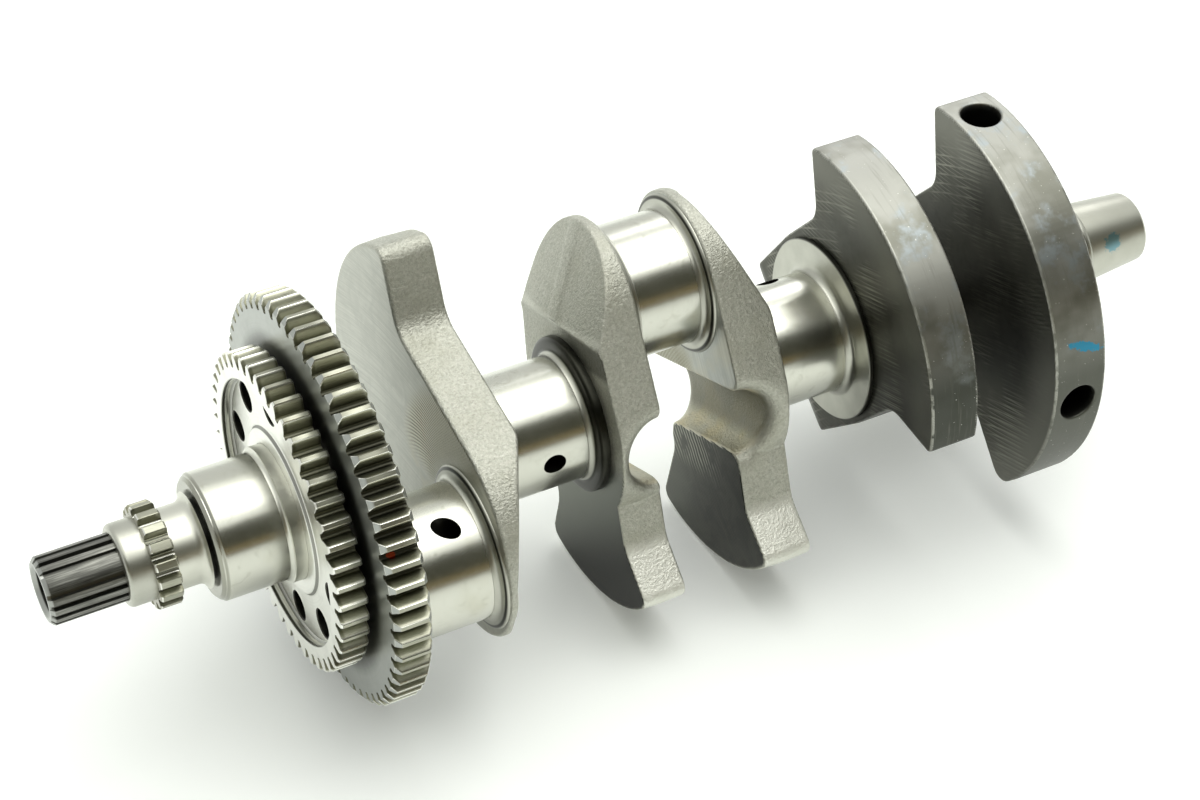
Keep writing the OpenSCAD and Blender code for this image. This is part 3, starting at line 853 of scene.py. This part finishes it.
class Web:
    """A web as a field of distances, in its own frame: x along the crank, u towards the crankpin."""

    def __init__(self, k, x0, thickness, outline, edge_r, forged=False, bevel=None, valley_x=None, holes=(),
                 recess=0.0):
        self.k = k
        self.x0 = x0
        self.x1 = x0 + thickness
        self.middle = x0 + thickness / 2
        self.outline = outline
        self.edge_r = edge_r
        self.forged = forged
        self.bevel = bevel
        self.valley_x = valley_x
        self.holes = holes
        self.recess = recess

    def bevelled(self, x, u, v):
        """Distance beyond the slope that cuts the web back towards its crankpin."""
        side, ridge, dome = self.bevel
        start = self.x0 if side > 0 else self.x1
        lean = radians(BEVEL_ANGLE)
        beyond = (u - ridge) * sin(lean) - side * (x - start) * cos(lean)
        beyond = beyond + dome * (np.minimum(np.abs(v), 30) / 26) ** 2
        if self.forged:
            rib = np.clip(1.5 - np.abs(v + 1) / 3.0, 0, 1)
            beyond = beyond - 0.35 * rib * rib * (3 - 2 * rib) - 0.08 * lumps(x, u, v, 11)
        return beyond

    def field(self, x, u, v, rim=None):
        slab = np.abs(x - self.middle) - (self.x1 - self.x0) / 2
        if rim is None:
            rim = outline_distance(u, v, self.outline)
        if self.forged:
            rim = rim + 0.1 * lumps(x, u, v, 15) + 0.035 * np.abs(x - self.middle)
        body = round_edge(rim, slab, self.edge_r)
        if self.bevel is not None:
            body = soft_max(body, self.bevelled(x, u, v), 0.9)
        if self.recess:
            side, ridge = self.bevel[:2]
            start = self.x0 if side > 0 else self.x1
            down = np.clip((ridge - u) / 6.5, 0, 1)
            floor = start + side * self.recess * np.sqrt(1 - (1 - down) ** 2)
            body = np.maximum(body, 0.9 * side * (floor - x))
        if self.valley_x is not None:
            tilt = radians(VALLEY_TURN)
            across = (u - VALLEY_U) * cos(tilt) + v * sin(tilt)
            valley = VALLEY_R - np.hypot(x - self.valley_x, across)
            body = soft_max(body, soft_max(valley, rim, 7.0), 0.7)
        for angle, floor in self.holes:
            a = radians(angle - pin_angle(self.k))
            along = u * cos(a) + v * sin(a)
            beside = v * cos(a) - u * sin(a)
            off_axis = np.hypot(x - self.middle, beside)
            body = soft_max(body, np.minimum(BALANCE_HOLE_R - off_axis, along - floor), 0.9)
        return body

    def slope(self, points):
        small = 0.02
        value = self.field(*points.T)
        parts = []
        for i in range(3):
            moved = points.copy()
            moved[:, i] += small
            parts.append((self.field(*moved.T) - value) / small)
        return value, np.stack(parts, axis=1)

    def surface(self, voxel):
        """Points, faces and normals of the surface, in the crank's frame."""
        low = np.array((self.x0, *self.outline.min(axis=0))) - 2
        high = np.array((self.x1, *self.outline.max(axis=0))) + 2
        counts = np.ceil((high - low) / voxel).astype(int) + 1
        x, u, v = (low[i] + voxel * np.arange(counts[i]) for i in range(3))
        rim = outline_distance(*np.meshgrid(u, v, indexing="ij"), self.outline)[None, :, :]
        values = self.field(x[:, None, None], u[None, :, None], v[None, None, :], rim) / voxel
        grid = openvdb.FloatGrid()
        grid.background = 3.0
        grid.copyFromArray(np.clip(values, -3, 3).astype(np.float32), tolerance=0.0)
        points, quads = grid.convertToQuads(0.0)
        points = np.asarray(points, dtype=float) * voxel + low
        for _ in range(3):
            value, slope = self.slope(points)
            points -= (value / np.maximum((slope ** 2).sum(axis=1), 0.05))[:, None] * slope
        slope = self.slope(points)[1]
        a = radians(pin_angle(self.k))
        turn = np.array(((1, 0, 0), (0, cos(a), sin(a)), (0, -sin(a), cos(a))))
        return points @ turn, quads.tolist(), slope @ turn


def add_web(name, web, material):
    points, quads, slope = web.surface(VOXEL)
    normals = slope / np.maximum(norm(slope, axis=1), 1e-6)[:, None]
    a, b, c = (points[[quad[i] for quad in quads]] for i in range(3))
    outward = np.einsum("ij,ij->i", np.cross(b - a, c - a), normals[[quad[0] for quad in quads]])
    if np.median(outward) < 0:
        quads = [quad[::-1] for quad in quads]
    add_piece(name, (points, quads), material, normals=normals)


# ---- Gears ----

TIP_CHAMFER = 0.16


def involute(a):
    return tan(a) - a


def tooth_half(r, pitch_r, teeth, pressure=radians(20)):
    """Half the angle that an involute tooth spans at radius r."""
    base = pitch_r * cos(pressure)
    return pi / 2 / teeth + involute(pressure) - involute(acos(min(1.0, base / r)))


def gear_section(teeth, tip_r, cap_r, grow):
    """Outline of a gear whose teeth are cut off at cap_r. grow widens or thins the teeth."""
    m = 2 * tip_r / (teeth + 2)
    pitch_r = tip_r - m
    root_r = tip_r - 2.25 * m
    foot_r = root_r + 0.38 * m
    base = pitch_r * cos(radians(20))
    pitch = 2 * pi / teeth
    foot_half = tooth_half(max(foot_r, base), pitch_r, teeth) + grow / foot_r
    rows = []
    for t in (0.0, 0.35, 0.62, 0.82, 0.95):
        swing = t * pi / 2
        half = pitch / 2 + (foot_half - pitch / 2) * sin(swing)
        rows.append((root_r + (foot_r - root_r) * (1 - cos(swing)), half))
    for r in np.linspace(foot_r, cap_r, 8):
        rows.append((r, tooth_half(max(r, base), pitch_r, teeth) + grow / r))
    cap_half = rows[-1][1]
    rows[-1] = (cap_r - TIP_CHAMFER, cap_half)
    land = (cap_r, cap_half - TIP_CHAMFER / cap_r)
    rows.append(land)
    points = []
    for i in range(teeth):
        middle = i * pitch
        points.extend((r, middle - half) for r, half in rows)
        points.extend((land[0], middle - land[1] * t) for t in (0.5, 0.0, -0.5))
        points.extend((r, middle + half) for r, half in reversed(rows[1:]))
    return points


def gear_rim(teeth, tip_r, x0, x1, drop, run, inner):
    """Toothed rim with bevelled tooth ends, closed down to the ring of (x, r) points inner."""
    bevel = ((0, drop, -0.12), (0.12, drop - 0.12, 0), (run / 2, drop / 2, 0), (run - 0.1, 0.12, 0),
             (run + 0.1, 0, 0))
    places = [(x0 + along, inset, thin) for along, inset, thin in bevel]
    places += [(x1 - along, inset, thin) for along, inset, thin in reversed(bevel)]
    sections = [(x, gear_section(teeth, tip_r, tip_r - inset, thin)) for x, inset, thin in places]
    root_r = tip_r * (1 - 4.5 / (teeth + 2))
    angles = [a for r, a in sections[0][1]]
    loops = [[(x, r, a) for a in angles] for x, r in inner]
    front = [(x0, root_r - 1.2, a) for a in angles]
    back = [(x1, root_r - 1.2, a) for a in angles]
    return loft([front] + [[(x, r, a) for r, a in section] for x, section in sections] + [back] + loops)


# ---- The crank ----

VOXEL = 0.62
MAIN = (0, 0)

ground = polished_steel()
satin = satin_steel("turned_steel", (0.55, 0.55, 0.49), (0.44, 0.44, 0.39), dull_specks)
neck = satin_steel("neck_steel", (0.7, 0.7, 0.63), (0.58, 0.58, 0.51), undercut_painted_shade)
taper = satin_steel("taper_steel", (0.52, 0.52, 0.46), (0.42, 0.42, 0.365), blue_taper_dab, 0.003,
                    (0.12, 0.3))
seat_rings = ring_paint("seat_ring_steel", MAIN_R, MAIN, 30, 31, (0.72, 0.72, 0.64))
main_rings = ring_paint("main_ring_steel", MAIN_R, MAIN, 0.9, 5.4)
thrust_rings = ring_paint("thrust_ring_steel", MAIN_R, MAIN, 9.75, 10.2)
pin_rings = [ring_paint("pin_ring_steel_%d" % k, PIN_R, pin_centre(k), 2.6, 3.6) for k in (1, 2, 3)]
nose = nose_steel()
gap_shade = painted_shade_steel()
balancer_paint = gear_steel("balancer_steel", BALANCER_ROOT_R, BALANCER_TIP_R, BALANCER_X, SHOULDER_X,
                            (0.95, 0.95, 0.89))
primary_paint = gear_steel("primary_steel", PRIMARY_ROOT_R, PRIMARY_TIP_R, PRIMARY_X, PIN_1_X,
                           (0.44, 0.455, 0.43), 47, (PRIMARY_X + 3.4, 1.2, 156.7, 0.9, 0.0))
sprocket_paint = gear_steel("sprocket_steel", SPROCKET_ROOT_R, SPROCKET_TIP_R, SPROCKET_X, NECK_X,
                            (0.45, 0.44, 0.38))


def splined_nose():
    blank, first, groove_half = 2, 90.7, 0.75
    pitch = 360 / SPLINE_PLACES
    half = degrees(groove_half / SPLINE_R)
    land = pitch - 2 * half - 2.4
    steps = ((-half - 1.2, 0), (-half - 0.25, 0), (-half, 0.25), (-half * 0.92, 0.8), (-half * 0.8, 1),
             (half * 0.8, 1), (half * 0.92, 0.8), (half, 0.25), (half + 0.25, 0), (half + 1.2, 0),
             *((half + 1.2 + share * land, 0) for share in (0.25, 0.5, 0.75)))
    outline = []
    for i in range(SPLINE_PLACES):
        depth = 0 if i == blank else SPLINE_DEPTH
        outline += [(radians(first + i * pitch + offset), down * depth) for offset, down in steps]
    bore_x = NOSE_X + 22
    profile = ((bore_x, 0.02, 0), (bore_x, 6.5, 0), (NOSE_X + 1.2, 6.5, 0), (NOSE_X, 7.7, 0),
               (NOSE_X, 8.7, 0), (NOSE_X + 0.1, 8.85, 0.1), (NOSE_X + 1.1, 9.9, 1),
               (NOSE_X + 1.3, SPLINE_R, 1), (COLLAR_X, SPLINE_R, 1))
    rows = [[(x, base - share * down, a) for a, down in outline] for x, base, share in profile]
    add_piece("splined_nose", loft(rows, closed=False), nose, angle=28)


def sprocket():
    """A narrow chain sprocket with rounded spaces between flat-topped teeth."""
    first, bore_r = 88, 8
    pitch = 2 * pi / SPROCKET_TEETH
    rise = ((-0.42, 0.02), (-0.35, 0.12), (-0.29, 0.38), (-0.25, 0.72), (-0.22, 0.95), (-0.18, 1.0))
    shape = [(-0.5, 0), *rise, (0.0, 1.0), *((-t, lift) for t, lift in reversed(rise))]
    bevel = ((0, 0.6), (0.25, 0.25), (0.6, 0))
    places = [(SPROCKET_X + along, inset) for along, inset in bevel]
    places += [(NECK_X - along, inset) for along, inset in reversed(bevel)]
    outline = [(radians(first) + (i + t) * pitch, lift)
               for i in range(SPROCKET_TEETH) for t, lift in shape]
    height = SPROCKET_TIP_R - SPROCKET_ROOT_R
    rows = [[(x, SPROCKET_ROOT_R + lift * (height - inset), a) for a, lift in outline] for x, inset in places]
    inner = [[(x, bore_r, a) for a, _ in outline] for x in (SPROCKET_X, NECK_X)]
    add_piece("timing_sprocket", loft([inner[0], *rows, inner[1]]), sprocket_paint, angle=30)


def nose_end():
    splined_nose()
    collar = rounded([(COLLAR_X, 0), (COLLAR_X, 10.4), *arc(COLLAR_X + 1.6, 10.6, 1.6, 180, 90, 8),
                      (SPROCKET_X, 12.2), (SPROCKET_X, 0)], 0.2)
    turned("nose_collar", collar, satin)
    sprocket()
    flare = [(NECK_X, 0), (NECK_X, 12), *arc(UNDERCUT_X - 3, 15, 3, 270, 345, 12), (UNDERCUT_X, 14.4),
             (UNDERCUT_X, 11.8), (MAIN_1_X, 11.8), (MAIN_1_X, 0)]
    turned("nose_neck", flare, neck)
    end_x = SEAT_X - SEAT_FILLET
    profile = rounded([(MAIN_1_X, 0), (MAIN_1_X, 17.2), (MAIN_1_X + 0.9, 18.3), (MAIN_1_X + 1.15, 18.2),
                       (MAIN_1_X + 1.9, MAIN_R), (-1.0, MAIN_R), (end_x, MAIN_R), (end_x, 0)], 0.25)
    main = turned("main_journal_1", profile, ground, columns=256)
    cut(main, [oil_drill(MAIN_R, MAIN, 0, pin_angle(1) + OIL_AFTER_PIN - 120, 0, 0)])


def balancer_gear():
    """The rim with its ring groove, and the thinner plate with its lightening holes."""
    plate_x = BALANCER_X + 3
    plate = rounded([(SHOULDER_X, SEAT_R), (13.2, SEAT_R), (13.2, 24.6), (plate_x, 25.6), (plate_x, 39.5),
                     (SHOULDER_X, 39.5), (SHOULDER_X, SEAT_R)], 0.3)
    gear = turned("balancer_gear_plate", plate, balancer_paint, "balancer_gear")
    hole_r = BALANCER_HOLE_R
    drill = [(5, 0), (5, hole_r), (plate_x - 0.5, hole_r + 0.7), (plate_x + 0.35, hole_r), (25, hole_r),
             (25, 0)]
    centres = [BALANCER_HOLE_CIRCLE_R * unit(FIRST_BALANCER_HOLE + i * 360 / BALANCER_HOLES)
               for i in range(BALANCER_HOLES)]
    cut(gear, [cutter(*lathe(drill, centre, 48)) for centre in centres])
    groove = [(SHOULDER_X, 38.5), (plate_x + 0.4, 38.5), (plate_x, 39.4), (13.7, 40), (13.7, 41.2),
              (12.3, 41.2), (12.3, 40), (11.6, 40), (BALANCER_X, 40.2)]
    rim = gear_rim(BALANCER_TEETH, BALANCER_TIP_R, BALANCER_X, SHOULDER_X, 0.6, 0.6, groove)
    add_piece("balancer_gear_rim", rim, balancer_paint, "balancer_gear")


def split_ring():
    ring_break, half_gap = radians(RING_BREAK), radians(RING_GAP / 2)
    angles = np.linspace(ring_break + half_gap, ring_break + 2 * pi - half_gap, 161)
    corners = [(12.4, 40.4), (12.4, 41.1), (13.6, 41.1), (13.6, 39.6), (12.4, 39.6), (12.4, 40.4)]
    section = rounded(corners, 0.15)[:-1]
    points, faces = loft([[(x, r, a) for x, r in section] for a in angles], closed=False)
    size = len(section)
    faces += [list(range(size)), list(range(len(points) - size, len(points)))[::-1]]
    add_piece("gear_split_ring", (points, faces), satin)


def front_gears():
    fillet_x = SEAT_X - SEAT_FILLET
    seat = [(fillet_x, 0), *arc(fillet_x, SEAT_R, SEAT_FILLET, 270, 360, 8), (SHOULDER_X, SEAT_R),
            (SHOULDER_X, 0)]
    turned("gear_seat", seat, seat_rings, columns=256)
    balancer_gear()
    split_ring()
    shoulder = [(SHOULDER_X, 0), (SHOULDER_X, SHOULDER_R), (PRIMARY_X, SHOULDER_R), (PRIMARY_X, 0)]
    # the shoulder between the gears is painted near-black as shade
    turned("gear_shoulder", shoulder, gap_shade)
    rim = gear_rim(PRIMARY_TEETH, PRIMARY_TIP_R, PRIMARY_X, PIN_1_X, 2.0, 1.5,
                   [(PIN_1_X, 54), (PIN_1_X, 2), (PRIMARY_X, 2), (PRIMARY_X, 54)])
    add_piece("primary_drive_gear", rim, primary_paint)
    cheek_ring("primary_gear_pin_ring", PIN_1_X, PIN_R, 1, PIN_R + PIN_RING_H, pin_centre(1), pin_rings[0],
               "primary_drive_gear")


def journals():
    for k in (1, 2, 3):
        half = PIN_LENGTH / 2 - RING_LENGTH
        hole = (pin_x(k) + 1.2, pin_angle(k) + OIL_AFTER_PIN, 45, -39)
        journal("crankpin_%d" % k, pin_x(k) - half, pin_x(k) + half, PIN_R, pin_centre(k), hole)
    journal("main_journal_2", MAIN_2_X + RING_LENGTH, WEB_3_X - RING_LENGTH, MAIN_R, MAIN,
            ((MAIN_2_X + WEB_3_X) / 2 + 1.4, pin_angle(1) + MAIN_OIL_AFTER_PIN, 30, 0))
    journal("main_journal_3", MAIN_3_X + RING_LENGTH, WEB_5_X - THRUST_T, MAIN_R, MAIN,
            ((MAIN_3_X + WEB_5_X) / 2 + 0.6, pin_angle(2) + MAIN_OIL_AFTER_PIN, 30, 0))
    start = MAIN_4_X + RING_LENGTH
    journal("main_journal_4", start, REAR_X, MAIN_R, MAIN,
            (start + 7, pin_angle(3) + MAIN_OIL_AFTER_PIN, 0, 0))
    start = WEB_5_X - THRUST_T
    thrust = [(WEB_5_X, 0), (WEB_5_X, THRUST_R - 0.3), (WEB_5_X - 0.3, THRUST_R), (WEB_5_X - 1.2, THRUST_R),
              (WEB_5_X - 1.5, THRUST_R - 0.3), *arc(start, MAIN_R + 2.5, 2.5, 360, 270, 12), (start, 0)]
    turned("thrust_ring", thrust, thrust_rings)


def webs():
    light, blue, dark = (0.5, 0.505, 0.455), (0.47, 0.49, 0.465), (0.2, 0.2, 0.175)
    outline = web_outline(WEB_2_R, 34, 34, (57, 34, 5), (57, 34, 5))
    web = Web(1, WEB_2_X, WEB_T, outline, 1.1, forged=True, bevel=(-1, RIDGE_U - 4.2, 0.5))
    add_web("web_2", web, forged_paint("web_2_steel", 1, WEB_2_X, -1, light))

    outline = web_outline(WEB_3_R, 26, 32.5, (31, 22.5, 4), (33, 24, 4))
    web = Web(2, WEB_3_X, WEB_T, outline, 1.1, forged=True, bevel=(1, RIDGE_U, 2.0), valley_x=WEB_3_X + WEB_T,
              recess=1.8)
    add_web("web_3", web, forged_paint("web_3_steel", 2, WEB_3_X, 1, dark, True, True))

    outline = web_outline(WEB_4_R, 26, 32.5, (34, 25.5, 4), (33, 20.5, 4))
    web = Web(2, WEB_4_X, WEB_T, outline, 1.1, forged=True, bevel=(-1, RIDGE_U, 2.0), valley_x=WEB_4_X)
    add_web("web_4", web, forged_paint("web_4_steel", 2, WEB_4_X, -1, blue, True))

    outline = web_outline(WEB_5_R, 28, 31, (54.5, 31, 2), (52.5, 31, 2))
    web = Web(3, WEB_5_X, WEB_T, outline, 0.8, bevel=(1, RIDGE_U - 1.5, 0))
    paint = milled_paint("web_5_steel", 3, WEB_5_X, WEB_T, WEB_5_R, 14, (0.04, 0.043, 0.035), 0.0)
    add_web("web_5", web, paint)

    outline = web_outline(WEB_6_R, 28, 29.3, (51.7, 29.3, 2.5), (97, 29.3, 5))
    holes = [(angle, WEB_6_R - BALANCE_HOLE_DEPTH) for angle in BALANCE_HOLE_ANGLES]
    web = Web(3, WEB_6_X, LAST_WEB_T, outline, 0.8, holes=holes)
    paint = milled_paint("web_6_steel", 3, WEB_6_X, LAST_WEB_T, WEB_6_R, 6, (0.08, 0.083, 0.069), 0.8,
                         BALANCE_HOLE_ANGLES, ((0.03, 0.26, 0.42), WEB_6_X + 10.6, 6.0, 163.7, 1.5, 0.006))
    add_web("web_6", web, paint)

    forged, machined = "forged_steel", "machined_steel"
    for name, x, k, side, slot in (("web_2", WEB_2_X, 1, -1, forged),
                                   ("web_3", WEB_3_X + WEB_T, 2, 1, forged),
                                   ("web_4", WEB_4_X, 2, -1, forged),
                                   ("web_5", WEB_5_X + WEB_T, 3, 1, machined),
                                   ("web_6", WEB_6_X, 3, -1, machined)):
        cheek_ring(name + "_pin_ring", x, PIN_R, side, PIN_R + PIN_RING_H, pin_centre(k), pin_rings[k - 1],
                   name)
    for name, x, side, slot in (("web_2", MAIN_2_X, 1, forged), ("web_3", WEB_3_X, -1, forged),
                                ("web_4", MAIN_3_X, 1, forged), ("web_6", MAIN_4_X, 1, machined)):
        cheek_ring(name + "_main_ring", x, MAIN_R, side, MAIN_R + MAIN_RING_H, MAIN, main_rings, name)


def rotor_end():
    shoulder = [(REAR_X, 0), (REAR_X, REAR_R), (TAPER_X - 1, REAR_R), (TAPER_X, REAR_R - 1), (TAPER_X, 0)]
    turned("rear_shoulder", rounded(shoulder, 0.3), satin)
    bore_x = END_X - TAPER_BORE_DEPTH
    end = [(TAPER_X, 0), (TAPER_X, TAPER_R), (END_X - 1, TAPER_END_R), (END_X, TAPER_END_R - 1),
           (END_X, TAPER_BORE_R + 1), (END_X - 1, TAPER_BORE_R), (bore_x, TAPER_BORE_R), (bore_x, 0)]
    turned("rotor_taper", rounded(end, 0.3), taper)


nose_end()
front_gears()
journals()
webs()
rotor_end()


# ---- Floor, light and camera ----

def floor():
    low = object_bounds()[0][2]
    size = 6.0
    mesh = bpy.data.meshes.new("floor")
    corners = [(-size, -size, low), (size, -size, low), (size, size, low), (-size, size, low)]
    mesh.from_pydata(corners, [], [[0, 1, 2, 3]])
    p = Paint("white_board", metallic=0.0)
    haze = p.noise(120, 3)
    p.shader.inputs["Emission Color"].default_value = (0.97, 1.0, 0.98, 1)
    p.shader.inputs["Emission Strength"].default_value = 0.18
    mesh.materials.append(p.done(p.mix(haze, (0.9, 0.92, 0.9), (0.82, 0.84, 0.82)), 0.6))
    new_object("floor", mesh)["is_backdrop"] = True


def area_light(name, place, target, size, power, colour=(1, 1, 1)):
    data = bpy.data.lights.new(name, "AREA")
    data.shape = "RECTANGLE"
    data.size, data.size_y = size
    data.energy = power
    data.color = colour
    obj = new_object(name, data)
    obj.location = place
    obj.rotation_euler = (Vector(target) - Vector(place)).to_track_quat("-Z", "Y").to_euler()


def studio():
    """A bright dome, dark and golden low down behind the camera, which itself sees a plain backdrop."""
    world = bpy.data.worlds.new("studio")
    bpy.context.scene.world = world
    world.use_nodes = True
    p = Nodes(world.node_tree)
    _, y, z = p.split(p.new("TexCoord").outputs["Generated"])
    towards_camera = p.step(y, -0.12, -0.42)
    golden = p.times(p.step(z, 0.27, 0.17), p.step(z, 0.02, 0.08))
    colour = p.mix(p.step(z, 0.71, 0.81), (0.93, 0.95, 0.92), (1.65, 1.68, 1.6))
    colour = p.over(colour, (0.075, 0.076, 0.055), towards_camera, p.step(z, 0.77, 0.72))
    colour = p.over(colour, (0.27, 0.2, 0.08), towards_camera, golden)
    colour = p.over(colour, (1.0, 1.02, 1.0), p.new("LightPath").outputs["Is Camera Ray"])
    background = p.tree.nodes["Background"]
    p.feed(background.inputs["Color"], colour)
    background.inputs["Strength"].default_value = 0.9
    area_light("key", (0.4, 0.0, 1.2), (0.12, 0, 0), (1.1, 0.9), 6, (1, 1, 0.97))
    area_light("fill", (0.9, 0.9, 0.7), (0.15, 0, 0), (0.6, 0.6), 2.5)
    bpy.context.scene.view_settings.view_transform = "Standard"


def camera():
    data = bpy.data.cameras.new("camera")
    data.sensor_width = 36
    data.lens = 81.45
    obj = new_object("camera", data)
    right = Vector((0.888, -0.46, 0.0)).normalized()
    forward = Vector((0.349, 0.6741, -0.651)).normalized()
    up = right.cross(forward)
    right = forward.cross(up).normalized()
    turn = Matrix((right, up, -forward)).transposed().to_4x4()
    turn.translation = Vector((-0.1654, -0.5421, 0.5249))
    obj.matrix_world = turn
    bpy.context.scene.camera = obj


floor()
studio()
camera()
